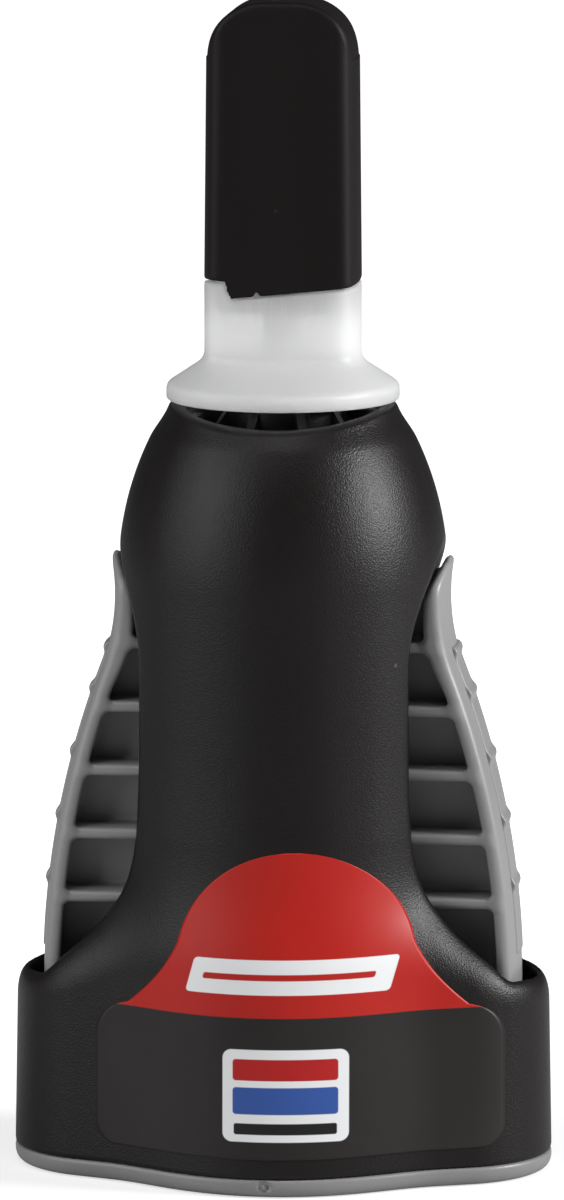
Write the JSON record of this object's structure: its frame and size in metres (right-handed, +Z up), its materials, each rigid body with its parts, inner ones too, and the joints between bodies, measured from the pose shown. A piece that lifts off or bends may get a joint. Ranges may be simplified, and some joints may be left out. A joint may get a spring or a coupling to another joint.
{
  "type": "glue dispenser",
  "caption": "Bell-shaped squeeze dispenser for gel glue, with sprung side grips on a metal tube, a pale flanged nozzle and a flat-sided cap.",
  "frame": {"origin": "middle of the underside of the base plate, on the axis of the nozzle and barrel", "axes": "+Z up along the nozzle, the side grips along X, the front label towards -Y"},
  "size_m": [0.048, 0.0322, 0.104],
  "materials": {
    "housing_black": "fine matt moulded texture",
    "base_grey": "satin moulded",
    "grip_grey": "satin moulded",
    "nozzle_natural": "translucent natural polypropylene",
    "cap_black": "matt moulded",
    "tube_aluminium": "plain",
    "gel": "clear gel",
    "pin_steel": "drawn wire",
    "seal_soft": "soft",
    "label_print": "printed film"
  },
  "bodies": {
    "dispenser": {"housing": "housing_black", "base_plate": "base_grey", "neck_ring": "housing_black", "glue_tube": "tube_aluminium", "glue_gel": "gel", "nozzle": "nozzle_natural", "front_label": "label_print", "back_label": "label_print"},
    "left_lever": {"left_grip": "grip_grey", "left_grip_strip": "grip_grey"},
    "right_lever": {"right_grip": "grip_grey", "right_grip_strip": "grip_grey"},
    "cap": {"cap_shell": "cap_black", "cap_pin": "pin_steel", "tip_seal": "seal_soft"}
  },
  "joints": [
    {"name": "left_squeeze", "type": "hinge", "parent": "dispenser", "child": "left_lever", "pos_m": [-0.0165, 0, 0.0065], "axis": [0, 1, 0], "range_deg": [0, 5], "stiffness_Nm_per_rad": 0.8, "deforming": ["glue_tube", "glue_gel"]},
    {"name": "right_squeeze", "type": "hinge", "parent": "dispenser", "child": "right_lever", "pos_m": [0.0165, 0, 0.0065], "axis": [0, -1, 0], "range_deg": [0, 5], "stiffness_Nm_per_rad": 0.8, "deforming": ["glue_tube", "glue_gel"]},
    {"name": "cap_pull", "type": "slide", "parent": "dispenser", "child": "cap", "axis": [0, 0, 1], "range_m": [0, 0.03]}
  ]
}
